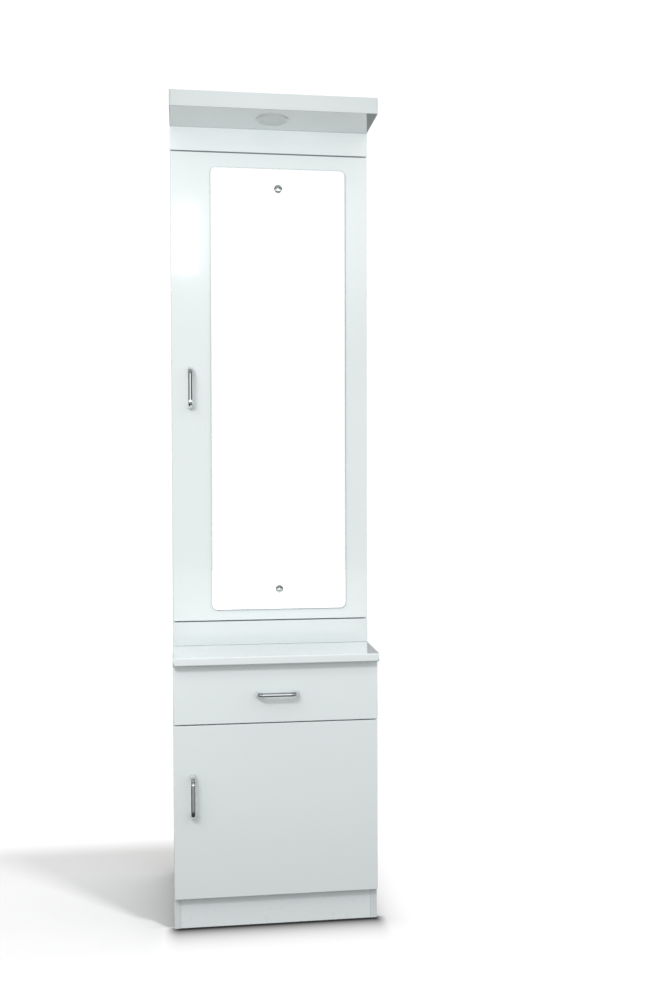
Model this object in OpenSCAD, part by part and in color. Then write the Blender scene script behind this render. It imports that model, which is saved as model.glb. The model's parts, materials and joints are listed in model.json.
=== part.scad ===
// Mirrored dressing cabinet: a deep lower cabinet with a drawer and a door,
// a shallow tall cabinet with a mirror door on top of it, and a canopy with a
// recessed downlight. Millimetres, +Z up, +Y to the back, +X to the right.
// The origin is on the floor, in the middle of the outline.

/* [Overall] */
// Width across the side panels
body_w = 500; // [460:10:600]
// Thickness of the carcass boards and of the doors
board = 16; // [16:1:16]
// Depth from the back to the drawer and lower door fronts
lower_d = 408; // [390:2:440]
// Depth from the back to the mirror door's front
upper_d = 250; // [240:2:280]
// Height of the floor glides
glide_h = 3; // [2:1:8]

/* [Worktop and canopy] */
// Depth of the worktop
worktop_d = 430; // [424:2:434]
// Thickness of the worktop
worktop_t = 20; // [18:1:22]
// Height of the worktop's upper face
worktop_z = 672; // [664:1:676]
// Depth of the canopy
canopy_d = 413; // [400:1:425]
// Thickness of each of the canopy's two boards
canopy_board = 19; // [18:0.5:20]
// Height of the canopy's underside
canopy_z = 1980; // [1970:1:1990]
// Radius of the canopy's vertical front corners
canopy_r = 5; // [4:1:8]

/* [Fronts] */
// Gap between neighbouring fronts
front_gap = 3; // [2:0.5:4]
// Reveal between a front's edge and the side panel's outer face
reveal = 1; // [1:0.5:2]
// Gap between a door's back and the carcass
door_gap = 2; // [2:0.5:2]
// Height of the joint between the drawer front and the lower door
joint_low_z = 505; // [500:1:508]
// Height of the joint between the fixed base panel and the mirror door
joint_base_z = 734; // [732:1:738]
// Height of the joint between the mirror door and the fixed frieze panel
joint_top_z = 1920; // [1916:1:1924]
// Thickness of the two fixed panels
panel_t = 18; // [18:1:18]

/* [Mirror] */
// Width of the mirror glass
mirror_w = 345; // [300:5:360]
// Height of the mirror glass
mirror_h = 1121; // [1000:1:1125]
// How far the mirror's centre lies to the right of the cabinet's
mirror_x = 21; // [15:1:24]
// Height of the mirror's lower edge
mirror_z = 762; // [755:1:765]
// Radius of the mirror's corners
mirror_r = 15; // [5:1:25]
// Thickness of the glass
mirror_t = 4; // [3:1:6]

/* [Handles] */
// Distance between a handle's two screws
handle_cc = 96; // [96:32:96]
// Width of the handle's bar
handle_w = 11; // [9:1:13]
// How far a handle stands out from its front
handle_h = 27; // [25:1:29]
// Distance of the door handles from the cabinet's left side
handle_in = 47; // [40:1:60]

/* [Downlight] */
// Diameter of the bezel
bezel_d = 82; // [76:1:90]
// Distance of the lamp's centre in front of the mirror door
lamp_front = 84; // [75:1:90]

/* [Hidden] */
$fn = 48;

hw = body_w / 2;                       // half width
t = board;
xi = hw - t;                           // inner face of a side panel
y_back = (lower_d + handle_h) / 2;     // back plane
function yd(d) = y_back - d;           // y of a point d in front of the back plane
lc = lower_d - t - door_gap;           // lower carcass depth
uc = upper_d - t - door_gap;           // upper carcass depth
back_in = 10;                          // back panels' distance from the back plane
back_t = 3;
inner_d = 14;                          // boards start here, in front of the back panel

z_bot = glide_h + 77;                  // underside of the bottom board
z_div = joint_low_z - 8;               // underside of the drawer divider
z_wt0 = worktop_z - worktop_t;         // underside of the worktop
z_ub = joint_base_z - 8;               // underside of the upper cabinet's bottom board
z_ut = joint_top_z - 8;                // underside of the upper cabinet's top board
canopy_top = canopy_z + 2 * canopy_board;

low_door_z0 = z_bot + 1;
low_door_z1 = joint_low_z - front_gap / 2;
drawer_z0 = joint_low_z + front_gap / 2;
drawer_z1 = z_wt0 - front_gap;
up_door_z0 = joint_base_z + front_gap / 2;
up_door_z1 = joint_top_z - front_gap / 2;
up_door_mid = (up_door_z0 + up_door_z1) / 2;
low_handle_z = 333;
drawer_mid = (drawer_z0 + drawer_z1) / 2;
handle_x = -hw + handle_in;

shelf_z = [963, 1200, 1437, 1674];     // undersides of the upper shelves
low_shelf_z = 290;
up_pin_d = [50, uc - 37];
low_pin_d = [50, 318];

up_hinge_z = [up_door_z0 + 100, up_door_mid, up_door_z1 - 100];
low_hinge_z = [low_door_z0 + 80, low_door_z1 - 80];

// joints of the horizontal boards: [height of the middle plane, distances of the dowels, of the cams]
low_joints = [[z_bot + 8, [60, 340], [100, 300]], [z_div + 8, [60, 340], [100, 300]]];
rail_joints = [[z_wt0 - 8, [34, 370], []]];
plinth_joints = [for (z = [20, 54]) [glide_h + z, [lc - 9], []]];
up_joints = [[z_ub + 8, [40, 205], [75, 170]], [z_ut + 8, [40, 205], [75, 170]]];
stand_d = [60, 190];                   // dowels between the side panels and the worktop and canopy

// ---------- shared shapes ----------
module blk(x0, x1, d0, d1, z0, z1) translate([x0, yd(d1), z0]) cube([x1 - x0, d1 - d0, z1 - z0]);

// box with all its edges chamfered by c
module cbox(s, c) {
  intersection() {
    linear_extrude(s[2]) cut_rect(s[0], s[1], c);
    translate([0, s[1], 0]) rotate([90, 0, 0]) linear_extrude(s[1]) cut_rect(s[0], s[2], c);
    rotate([90, 0, 90]) linear_extrude(s[0]) cut_rect(s[1], s[2], c);
  }
}
module cut_rect(a, b, c) polygon([[c, 0], [a - c, 0], [a, c], [a, b - c], [a - c, b], [c, b], [0, b - c], [0, c]]);
module cblk(x0, x1, d0, d1, z0, z1, c = 0.8) translate([x0, yd(d1), z0]) cbox([x1 - x0, d1 - d0, z1 - z0], c);

// board with its two front corners rounded, seen from above
module slab2(w, d, r) {
  translate([-w / 2, yd(d) + r]) square([w, d - r]);
  translate([-w / 2 + r, yd(d)]) square([w - 2 * r, r + 1]);
  for (s = [-1, 1]) translate([s * (w / 2 - r), yd(d) + r]) circle(r);
}
module rrect2(w, h, r) {
  translate([-w / 2 + r, -h / 2]) square([w - 2 * r, h]);
  translate([-w / 2, -h / 2 + r]) square([w, h - 2 * r]);
  for (a = [-1, 1], b = [-1, 1]) translate([a * (w / 2 - r), b * (h / 2 - r)]) circle(r);
}
module xcyl(r, x0, x1) translate([x0, 0, 0]) rotate([0, 90, 0]) cylinder(r = r, h = x1 - x0);
module ycyl(r, y0, y1) translate([0, y0, 0]) rotate([-90, 0, 0]) cylinder(r = r, h = y1 - y0);

// ---------- joinery ----------
// holes in the inner face of the side panel at +x
module side_joint_holes(joints) {
  for (j = joints) {
    for (d = j[1]) translate([0, yd(d), j[0]]) xcyl(4, xi - 1, xi + 10);
    for (d = j[2]) translate([0, yd(d), j[0]]) xcyl(2.5, xi - 1, xi + 11);
  }
}
// holes in both ends of a horizontal board
module board_joint_holes(j) {
  for (s = [0, 1]) mirror([s, 0, 0]) {
    for (d = j[1]) translate([0, yd(d), j[0]]) xcyl(4, xi - 21, xi + 1);
    for (d = j[2]) {
      translate([0, yd(d), j[0]]) xcyl(3.6, xi - 34, xi + 1);
      translate([xi - 34, yd(d), j[0] - 9]) cylinder(r = 7.5, h = 13.5);
    }
  }
}
module pin_holes(zs, ds, depth) {
  for (z = zs, k = [-32, 0, 32], d = ds) translate([0, yd(d), z - 3 + k]) xcyl(2.5, xi - 1, xi + depth);
}

// ---------- side panels ----------
module lower_side() {
  difference() {
    cblk(xi, hw, 0, lc, glide_h, z_wt0, 0.4);
    blk(xi - 1, xi + 6.5, back_in - 0.2, back_in + back_t + 0.2, z_bot, z_wt0 + 1);
    side_joint_holes(low_joints);
    side_joint_holes(rail_joints);
    side_joint_holes(plinth_joints);
    pin_holes([low_shelf_z], low_pin_d, 9);
    for (d = [75, 203, 331]) translate([0, yd(d), 525]) xcyl(1.8, xi - 1, xi + 13);
    for (d = [40, 350]) translate([hw - 8, yd(d), glide_h - 1]) cylinder(r = 1.5, h = 16);
    stand_holes(z_wt0, -12, [60, 300]);
  }
}
module stand_holes(z, dz, ds) {
  for (d = ds) translate([hw - 8, yd(d), dz < 0 ? z + dz : z - 1]) cylinder(r = 4, h = abs(dz) + 1);
}
module lower_side_left() color([0.90, 0.93, 0.93]) mirror([1, 0, 0]) lower_side();
module lower_side_right() color([0.90, 0.93, 0.93]) difference() {
  lower_side();
  for (z = low_hinge_z) plate_screw_holes(lower_d, z);
}
module upper_side() {
  difference() {
    cblk(xi, hw, 0, uc, worktop_z, canopy_z, 0.4);
    blk(xi - 1, xi + 6.5, back_in - 0.2, back_in + back_t + 0.2, worktop_z - 1, canopy_z + 1);
    side_joint_holes(up_joints);
    pin_holes(shelf_z, up_pin_d, 9);
    stand_holes(worktop_z, 20, stand_d);
    stand_holes(canopy_z, -20, stand_d);
    for (z = block_z) translate([0, yd(uc - 10), (z[0] + z[1]) / 2]) xcyl(1.8, xi - 1, xi + 12.5);
  }
}
module upper_side_left() color([0.90, 0.93, 0.93]) mirror([1, 0, 0]) upper_side();
module upper_side_right() color([0.90, 0.93, 0.93]) difference() {
  upper_side();
  for (z = up_hinge_z) plate_screw_holes(upper_d, z);
}

// ---------- horizontal boards ----------
module inner_board(z, depth, j) difference() {
  cblk(-xi, xi, inner_d, depth, z, z + t, 0.3);
  board_joint_holes(j);
}
module lower_bottom_board() color([0.90, 0.93, 0.93]) inner_board(z_bot, lc, low_joints[0]);
module drawer_divider() color([0.90, 0.93, 0.93]) inner_board(z_div, lc, low_joints[1]);
module upper_bottom_board() color([0.90, 0.93, 0.93]) inner_board(z_ub, uc, up_joints[0]);
module upper_top_board() color([0.90, 0.93, 0.93]) difference() {
  inner_board(z_ut, uc, up_joints[1]);
  for (x = [-65, 65]) translate([x, yd(175), z_ut + t - 12.5]) cylinder(r = 1.8, h = 14);
}
module worktop_rails() color([0.90, 0.93, 0.93]) difference() {
  union() {
    blk(-xi, xi, inner_d, inner_d + 80, z_wt0 - t, z_wt0);
    blk(-xi, xi, lc - 80, lc, z_wt0 - t, z_wt0);
  }
  board_joint_holes(rail_joints[0]);
}
module plinth() color([0.88, 0.91, 0.91]) difference() {
  cblk(-xi, xi, lc - 17, lc - 1, glide_h, z_bot, 0.4);
  for (j = plinth_joints) board_joint_holes(j);
}
module worktop() color([0.92, 0.94, 0.94]) difference() {
  translate([0, 0, z_wt0]) intersection() {
    linear_extrude(worktop_t) slab2(body_w, worktop_d, 4);
    // front edge rounded above and below
    translate([-hw, 0, 0]) rotate([90, 0, 90]) linear_extrude(body_w) {
      translate([yd(worktop_d) + 3, 0]) square([worktop_d - 3, worktop_t]);
      translate([yd(worktop_d), 3]) square([4, worktop_t - 6]);
      for (z = [3, worktop_t - 3]) translate([yd(worktop_d) + 3, z]) circle(3);
    }
  }
  for (s = [0, 1]) mirror([s, 0, 0]) {
    stand_holes(worktop_z, -12, stand_d);
    for (d = [60, 300]) translate([hw - 8, yd(d), z_wt0 - 1]) cylinder(r = 4, h = 13 - 5);
  }
}
module lower_back_panel() color([0.86, 0.88, 0.88]) blk(-xi - 6, xi + 6, back_in, back_in + back_t, z_bot + 1, z_wt0 - 1);
module upper_back_panel() color([0.86, 0.88, 0.88]) difference() {
  blk(-xi - 6, xi + 6, back_in, back_in + back_t, worktop_z + 1, canopy_z - 1);
  translate([120, yd(back_in + 6), 1955]) ycyl(7, 0, 10);
}

// ---------- fixed front panels ----------
// Each is held by two blocks, which are screwed to it and to the side panels.
block_z = [[worktop_z + 8, z_ub - 6], [z_ut + t + 6, canopy_z - 8]];
module panel_screw_holes(z) for (x = [10 - xi, xi - 10]) translate([x, yd(uc), (z[0] + z[1]) / 2 + 7]) ycyl(1.8, -12.5, 1);
module base_panel() color([0.92, 0.95, 0.95]) difference() {
  cblk(-hw, hw, uc, upper_d, worktop_z, joint_base_z - front_gap / 2);
  panel_screw_holes(block_z[0]);
}
module frieze_panel() color([0.92, 0.95, 0.95]) difference() {
  cblk(-hw, hw, uc, upper_d, joint_top_z + front_gap / 2, canopy_z);
  panel_screw_holes(block_z[1]);
}
module corner_blocks() color([0.85, 0.86, 0.86]) {
  for (s = [-1, 1], z = block_z)
    translate([s * (xi - 10), yd(uc - 10), z[0]]) difference() {
      translate([-10, -10, 0]) cbox([20, 20, z[1] - z[0]], 1.5);
      translate([0, 0, (z[1] - z[0]) / 2]) xcyl(2.2, -11, 11);
      translate([0, 0, (z[1] - z[0]) / 2 + 7]) ycyl(2.2, -11, 11);
    }
}
// the blocks' screws and the two that hold the lamp driver
module block_screws() color("silver") {
  for (s = [0, 1], z = block_z) mirror([s, 0, 0]) translate([xi - 10, yd(uc - 10), (z[0] + z[1]) / 2]) {
    xcyl(1.75, -10, 22);
    xcyl(3.5, -12, -10);
    translate([0, 0, 7]) { ycyl(1.75, -22, 10); ycyl(3.5, 10, 12); }
  }
  for (x = [-65, 65]) translate([x, yd(175), z_ut + t + 2.4]) {
    translate([0, 0, -14.4]) cylinder(r = 1.75, h = 14.4);
    cylinder(r = 3.5, h = 1.8);
  }
}

// ---------- shelves ----------
module lower_shelf() color([0.90, 0.93, 0.93]) cblk(-xi + 1, xi - 1, 16, 350, low_shelf_z, low_shelf_z + t, 0.5);
module upper_shelves() color([0.90, 0.93, 0.93])
  for (z = shelf_z) cblk(-xi + 1, xi - 1, 16, uc - 12, z, z + t, 0.5);
module shelf_pin() {
  xcyl(2.45, xi, xi + 8);
  xcyl(3.9, xi - 0.9, xi);
  xcyl(2.95, xi - 8, xi - 0.9);
}
module shelf_pins() color("silver") for (s = [0, 1]) mirror([s, 0, 0]) {
  for (z = shelf_z, d = up_pin_d) translate([0, yd(d), z - 3]) shelf_pin();
  for (d = low_pin_d) translate([0, yd(d), low_shelf_z - 3]) shelf_pin();
}

// ---------- dowels and cam fittings ----------
module dowels() color("burlywood") for (s = [0, 1]) mirror([s, 0, 0]) {
  for (j = concat(low_joints, rail_joints, plinth_joints, up_joints), d = j[1]) translate([0, yd(d), j[0]]) xcyl(3.95, xi - 20, xi + 9.5);
  for (d = stand_d) translate([hw - 8, yd(d), worktop_z - 11]) cylinder(r = 3.95, h = 30);
  for (d = stand_d) translate([hw - 8, yd(d), canopy_z - 19]) cylinder(r = 3.95, h = 30);
  for (d = [60, 300]) translate([hw - 8, yd(d), z_wt0 - 11]) cylinder(r = 3.95, h = 17.5);
}
module cam_fittings() color("silver") for (s = [0, 1]) mirror([s, 0, 0])
  for (j = concat(low_joints, up_joints), d = j[2]) translate([0, yd(d), j[0]]) {
    translate([xi - 34, 0, -8 + 0.2]) difference() {
      cylinder(r = 7.4, h = 12.2);
      translate([-5, -0.8, -1]) cube([10, 1.6, 2.6]);
      translate([-0.8, -5, -1]) cube([1.6, 10, 2.6]);
    }
    xcyl(3.4, xi - 26.4, xi);
    xcyl(2.45, xi, xi + 10.5);
  }

// ---------- canopy and downlight ----------
band_t = 2;
lamp_d = upper_d + lamp_front;
can_r = 32;
lead_x = 0;
lead_drop_d = 185;
lead_z = canopy_z + canopy_board + 4;
module canopy_top_board() color([0.90, 0.92, 0.92]) difference() {
  translate([0, 0, canopy_z + canopy_board]) linear_extrude(canopy_board) slab2(body_w - 2 * band_t, canopy_d - band_t, canopy_r - band_t);
  translate([0, yd(lamp_d), canopy_z + canopy_board - 1]) cylinder(r = can_r + 1, h = 16);
  blk(lead_x - 4, lead_x + 4, lead_drop_d - 6, lamp_d - can_r, canopy_z + canopy_board - 1, canopy_z + canopy_board + 8);
}
module canopy_light_board() color([0.88, 0.91, 0.91]) difference() {
  translate([0, 0, canopy_z]) linear_extrude(canopy_board) slab2(body_w - 2 * band_t, canopy_d - band_t, canopy_r - band_t);
  translate([0, yd(lamp_d), canopy_z - 1]) cylinder(r = can_r + 1, h = canopy_board + 2);
  translate([lead_x, yd(lead_drop_d), canopy_z - 1]) cylinder(r = 4.5, h = canopy_board + 2);
  for (s = [0, 1]) mirror([s, 0, 0]) for (d = stand_d) translate([hw - 8, yd(d), canopy_z - 1]) cylinder(r = 4, h = 13);
}
module canopy_edge_band() color([0.92, 0.94, 0.94]) translate([0, 0, canopy_z]) difference() {
  linear_extrude(2 * canopy_board) slab2(body_w, canopy_d, canopy_r);
  translate([0, 0, -1]) linear_extrude(2 * canopy_board + 2) slab2(body_w - 2 * band_t, canopy_d - band_t, canopy_r - band_t);
  translate([-hw - 1, yd(0) - 0.001, -1]) cube([body_w + 2, 5, 2 * canopy_board + 2]);
}
// bezel: flange under the canopy, a groove for the lens, and a collar that carries the can
lens_r = bezel_d / 2 - 4.5;
module lamp_bezel() color([0.93, 0.94, 0.94]) translate([0, yd(lamp_d), canopy_z]) rotate_extrude($fn = 96)
  polygon([[31.4, 3], [31.4, -1.2], [lens_r + 0.1, -1.2], [lens_r + 0.1, -2.9], [lens_r - 1.5, -2.9], [lens_r - 1.2, -3.4],
    [lens_r - 0.6, -3.6], [bezel_d / 2 - 2.5, -3.6], [bezel_d / 2 - 0.9, -3.1], [bezel_d / 2 - 0.2, -2.1], [bezel_d / 2, -0.8],
    [bezel_d / 2, 0], [32.9, 0], [32.9, 3]]);
module lamp_lens() color([0.95, 0.97, 1.0, 0.6]) translate([0, yd(lamp_d), canopy_z]) rotate_extrude($fn = 96)
  polygon([[0, -2.9], [lens_r, -2.9], [lens_r, -1.2], [0, -1.2]]);
module lamp_can() color("gainsboro") translate([0, yd(lamp_d), canopy_z]) difference() {
  rotate_extrude($fn = 96)
    polygon([[31, 3], [can_r, 3], [can_r, 28], [26, 33], [0, 33], [0, 32], [25.4, 32], [31, 27.5]]);
  translate([lead_x, 20, lead_z - canopy_z]) ycyl(2.8, 0, 20);
}
module lamp_capsule() color([1, 0.98, 0.9]) translate([0, yd(lamp_d), canopy_z]) {
  rotate_extrude() polygon([[0, 25], [8, 25], [8, 32], [0, 32]]);
  rotate_extrude() polygon([[0, 12], [2.4, 13], [4.5, 15.5], [4.5, 22], [3, 25], [0, 25]]);
}
module lamp_driver() color([0.96, 0.96, 0.96]) difference() {
  union() {
    cblk(-60, 60, 150, 200, z_ut + t, z_ut + t + 24, 2);
    cblk(-70, 70, 160, 190, z_ut + t, z_ut + t + 2.4, 0.4);
  }
  for (x = [-65, 65]) translate([x, yd(175), z_ut + t - 1]) cylinder(r = 2.2, h = 5);
}
module lamp_lead() color([0.2, 0.2, 0.2]) {
  translate([lead_x, 0, lead_z]) ycyl(2.5, yd(lamp_d - can_r + 2), yd(lead_drop_d));
  translate([lead_x, yd(lead_drop_d), lead_z]) sphere(2.5);
  translate([lead_x, yd(lead_drop_d), z_ut + t + 24]) cylinder(r = 2.5, h = lead_z - (z_ut + t + 24));
}
module mains_gland() color([0.15, 0.15, 0.15]) translate([120, yd(back_in), 1955]) rotate([90, 0, 0])
  rotate_extrude() polygon([[4, -2.5], [9, -2.5], [10, -1.8], [10, -0.1], [6.9, -0.1], [6.9, 3.1], [10, 3.1], [10, 4.4], [8.5, 6.5], [5.5, 8], [4, 8]]);

// ---------- drawer runners ----------
rz = 525;                              // height of the roller axles
rch = [38, lc - 2];                    // channel from back to front
prof = [42, lc - 2];                   // drawer profile from back to front
front_roll_d = lc - 14;
rear_roll_d = prof[0] + 12;
module for_both() { children(); mirror([1, 0, 0]) children(); }
module runner_channels() color([0.93, 0.93, 0.92]) for_both() {
  difference() {
    union() {
      blk(xi - 1.2, xi, rch[0], rch[1], rz - 11, rz + 13.7);
      blk(xi - 10, xi - 1.2, rch[0], rch[1], rz - 11, rz - 9.8);
      blk(xi - 10, xi - 1.2, rch[0], rch[1], rz + 12.5, rz + 13.7);
      blk(xi - 10, xi - 1.2, rch[0], rch[0] + 1.2, rz - 9.8, rz + 12.5);
    }
    for (d = [75, 203, 331]) translate([0, yd(d), rz]) xcyl(2, xi - 2, xi + 1);
  }
  translate([0, yd(front_roll_d), rz]) {
    xcyl(2.45, xi - 10.0, xi - 1.2);
    xcyl(3.6, xi - 10.6, xi - 10.0);
  }
}
module runner_screws() color("silver") for_both() for (d = [75, 203, 331]) translate([0, yd(d), rz]) {
  xcyl(1.75, xi - 1.2, xi + 12);
  xcyl(3.4, xi - 1.75, xi - 1.2);
}
module front_rollers() color([0.97, 0.97, 0.95]) for_both() translate([xi - 9.8, yd(front_roll_d), rz]) rotate([0, 90, 0])
  rotate_extrude() polygon([[2.5, 0], [4.5, 0], [4.5, 0.6], [8.7, 0.6], [9.5, 1.4], [9.5, 7.2], [8.7, 8.0], [4.5, 8.0], [2.5, 8.0]]);
prof_screw_d = [80, 210, 340];
module drawer_profiles() color([0.93, 0.93, 0.92]) for_both() {
  blk(xi - 12.5, xi - 11.5, prof[0], prof[1], rz - 7.2, rz + 11);
  difference() {
    blk(xi - 23.5, xi - 12.5, prof[0], prof[1], rz - 7.2, rz - 6);
    for (d = prof_screw_d) translate([dx - 6, yd(d), rz - 8]) cylinder(r = 1.6, h = 3);
  }
  blk(xi - 11.5, xi - 2.5, prof[0], prof[1], rz + 9.8, rz + 11);
  translate([0, yd(rear_roll_d), rz]) {
    xcyl(2.45, xi - 11.5, xi - 2.7);
    xcyl(3.6, xi - 2.7, xi - 2.1);
  }
}
module rear_rollers() color([0.97, 0.97, 0.95]) for_both() translate([xi - 2.9, yd(rear_roll_d), rz]) rotate([0, -90, 0])
  rotate_extrude() polygon([[2.5, 0], [4.5, 0], [4.5, 0.6], [8.7, 0.6], [9.5, 1.4], [9.5, 7.2], [8.7, 8.0], [4.5, 8.0], [2.5, 8.0]]);

// ---------- drawer ----------
dx = xi - 12.5;                        // outer face of the drawer box
dz0 = rz - 6;                          // underside of the drawer box
dz1 = dz0 + 100;
dfb = lower_d - t;                     // plane of the drawer front's back
box_joint_d = [prof[0] + 6, dfb - 6];  // screws through the sides into the ends
box_joint_z = [dz0 + 30, dz0 + 75];
module drawer_front() color([0.91, 0.93, 0.93]) difference() {
  cblk(-hw + reveal, hw - reveal, dfb, lower_d, drawer_z0, drawer_z1);
  for (x = [-handle_cc / 2, handle_cc / 2]) translate([x, 0, drawer_mid]) ycyl(2.25, yd(lower_d) - 1, yd(dfb) + 1);
  for (x = [-150, 150], z = [dz0 + 26, dz1 - 26]) translate([x, 0, z]) ycyl(1.8, yd(dfb) - 12, yd(dfb) + 1);
}
module drawer_sides() color([0.90, 0.92, 0.92]) for_both() difference() {
  cblk(dx - 12, dx, prof[0], dfb, dz0, dz1, 0.4);
  blk(dx - 13, dx - 12 + 6, prof[0] - 1, dfb - 1, dz0 + 10, dz0 + 13.2);
  for (d = box_joint_d, z = box_joint_z) translate([0, yd(d), z]) {
    xcyl(2.25, dx - 13, dx + 1);
    translate([dx - 2.2, 0, 0]) rotate([0, 90, 0]) cylinder(r1 = 1.9, r2 = 3.75, h = 2.25);
  }
  for (d = prof_screw_d) translate([dx - 6, yd(d), dz0 - 1]) cylinder(r = 1.55, h = 9.5);
}
module drawer_ends() color([0.90, 0.92, 0.92]) difference() {
  union() {
    blk(-dx + 12, dx - 12, prof[0], prof[0] + 12, dz0, dz1);
    blk(-dx + 12, dx - 12, dfb - 12, dfb, dz0, dz1);
  }
  blk(-dx, dx, prof[0] + 6, dfb - 6, dz0 + 10, dz0 + 13.2);
  for (x = [-150, 150], z = [dz0 + 26, dz1 - 26]) translate([x, 0, z]) ycyl(2.25, yd(dfb), yd(dfb - 13));
  for (s = [0, 1], d = box_joint_d, z = box_joint_z) mirror([s, 0, 0]) translate([0, yd(d), z]) xcyl(1.8, dx - 32.5, dx - 11);
  for (x = [-handle_cc / 2, handle_cc / 2]) translate([x, 0, drawer_mid]) ycyl(6, yd(dfb) - 1, yd(dfb - 13));
}
module drawer_bottom() color([0.93, 0.94, 0.94]) blk(-dx + 6.5, dx - 6.5, prof[0] + 6.4, dfb - 6.4, dz0 + 10.1, dz0 + 13.1);
module drawer_screws() color("silver") {
  for (x = [-150, 150], z = [dz0 + 26, dz1 - 26]) translate([x, yd(dfb), z]) {
    ycyl(1.75, -10, 12);
    ycyl(3.8, 12, 14);
  }
  for (x = [-handle_cc / 2, handle_cc / 2]) translate([x, 0, drawer_mid]) handle_screw(lower_d);
  for_both() {
    for (d = box_joint_d, z = box_joint_z) translate([0, yd(d), z]) {
      xcyl(1.75, dx - 32, dx - 2.1);
      translate([dx - 2.1, 0, 0]) rotate([0, 90, 0]) cylinder(r1 = 1.75, r2 = 3.4, h = 2);
    }
    for (d = prof_screw_d) translate([dx - 6, yd(d), dz0]) {
      translate([0, 0, -1.2]) cylinder(r = 1.5, h = 9.2);
      translate([0, 0, -2.2]) cylinder(r = 3, h = 1);
    }
  }
}

// ---------- bow handle ----------
// Outline along the handle: straight in the middle, superelliptic quarters at the ends.
function qx(a, s, q) = s + (a - s) * pow(cos(q), 2 / 2.3);
function qy(b, q) = b * pow(sin(q), 2 / 2.3);
function bow_half(a, s, b) = [for (i = [0:10]) let (q = i * 9) [qx(a, s, q), qy(b, q)]];
function rev(p) = [for (i = [len(p) - 1:-1:0]) p[i]];
function flip(p) = [for (q = rev(p)) [-q[0], q[1]]];
bow_out = bow_half(53, 30, handle_h);
bow_in = bow_half(43.4, 28, handle_h - 6.5);
module bow_handle(fd) {
  translate([0, yd(fd), 0]) difference() {
    bow_solid();
    for (s = [-1, 1]) translate([s * handle_cc / 2, 0, 0]) ycyl(2, -12, 1);
  }
}
// the bar lies along X and stands out towards -Y; its front edges are taken off
module bow_solid() intersection() {
  translate([0, 0, -handle_w / 2]) linear_extrude(handle_w)
    polygon([for (p = concat(bow_out, flip(bow_out), rev(flip(bow_in)), rev(bow_in))) [p[0], -p[1]]]);
  translate([-60, 0, 0]) rotate([90, 0, 90]) linear_extrude(120)
    polygon([[1, -handle_w / 2], [1, handle_w / 2], [-handle_h + 5, handle_w / 2], [-handle_h + 2.2, handle_w / 2 - 1],
      [-handle_h + 0.6, handle_w / 2 - 2.8], [-handle_h, handle_w / 2 - 4.4], [-handle_h, -handle_w / 2 + 4.4],
      [-handle_h + 0.6, -handle_w / 2 + 2.8], [-handle_h + 2.2, -handle_w / 2 + 1], [-handle_h + 5, -handle_w / 2]]);
}
// screw from behind a front of thickness t, its head on the front's back
module handle_screw(fd) {
  translate([0, yd(fd), 0]) {
    ycyl(1.95, -10, t);
    ycyl(3.9, t, t + 1.6);
  }
}
module drawer_handle() color("silver") translate([0, 0, drawer_mid]) bow_handle(lower_d);
module upper_handle() color("silver") translate([handle_x, 0, up_door_mid]) rotate([0, 90, 0]) bow_handle(upper_d);
module lower_handle() color("silver") translate([handle_x, 0, low_handle_z]) rotate([0, 90, 0]) bow_handle(lower_d);
module upper_handle_screws() color("silver") for (s = [-1, 1]) translate([handle_x, 0, up_door_mid + s * handle_cc / 2]) handle_screw(upper_d);
module lower_handle_screws() color("silver") for (s = [-1, 1]) translate([handle_x, 0, low_handle_z + s * handle_cc / 2]) handle_screw(lower_d);

// ---------- doors ----------
cup_x = hw - reveal - 21.5;            // centre line of the hinge cups
module door(fd, z0, z1, hz, hinges) difference() {
  cblk(-hw + reveal, hw - reveal, fd - t, fd, z0, z1);
  for (z = [hz - handle_cc / 2, hz + handle_cc / 2]) translate([handle_x, 0, z]) ycyl(2.25, yd(fd) - 1, yd(fd - t) + 1);
  for (z = hinges) {
    translate([cup_x, 0, z]) ycyl(17.5, yd(fd - t) - 11.5, yd(fd - t) + 1);
    for (k = [-26, 26]) translate([cup_x - 6, 0, z + k]) ycyl(1.7, yd(fd - t) - 11, yd(fd - t) + 1);
  }
}
module mirror_door() color([0.92, 0.95, 0.95]) difference() {
  door(upper_d, up_door_z0, up_door_z1, up_door_mid, up_hinge_z);
  for (z = cap_z) translate([mirror_x, 0, z]) ycyl(1.8, yd(upper_d) - 1, yd(upper_d) + 12);
}
module lower_door() color([0.86, 0.89, 0.89]) door(lower_d, low_door_z0, low_door_z1, low_handle_z, low_hinge_z);

// ---------- mirror ----------
cap_z = [mirror_z + 52, mirror_z + mirror_h - 52];
mirror_y = yd(upper_d);
module mirror_glass() color([0.85, 0.9, 0.92]) difference() {
  translate([mirror_x, mirror_y, mirror_z + mirror_h / 2]) rotate([90, 0, 0]) linear_extrude(mirror_t) rrect2(mirror_w, mirror_h, mirror_r);
  for (z = cap_z) translate([mirror_x, 0, z]) ycyl(3.5, mirror_y - mirror_t - 1, mirror_y + 1);
}
// screw with a nylon washer under its head
module mirror_screws() color("silver") for (z = cap_z) translate([mirror_x, mirror_y, z]) {
  ycyl(1.75, -mirror_t - 1, 11.5);
  ycyl(4.2, -mirror_t - 3.2, -mirror_t - 1);
  difference() {
    ycyl(8, -mirror_t - 0.98, -mirror_t);
    ycyl(1.85, -mirror_t - 1.5, 0.5);
  }
}
module mirror_caps() color("gainsboro") for (z = cap_z) translate([mirror_x, mirror_y - mirror_t, z]) rotate([90, 0, 0])
  rotate_extrude($fn = 64) polygon(concat([for (i = [0:10]) let (q = i * 9) [10.2 * cos(q), 0.9 + 5.8 * sin(q)]],
    [for (i = [10:-1:0]) let (q = i * 9) [9.2 * cos(q), 0.9 + 4.8 * sin(q)]], [[9.2, 0], [10.2, 0]]));

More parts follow.
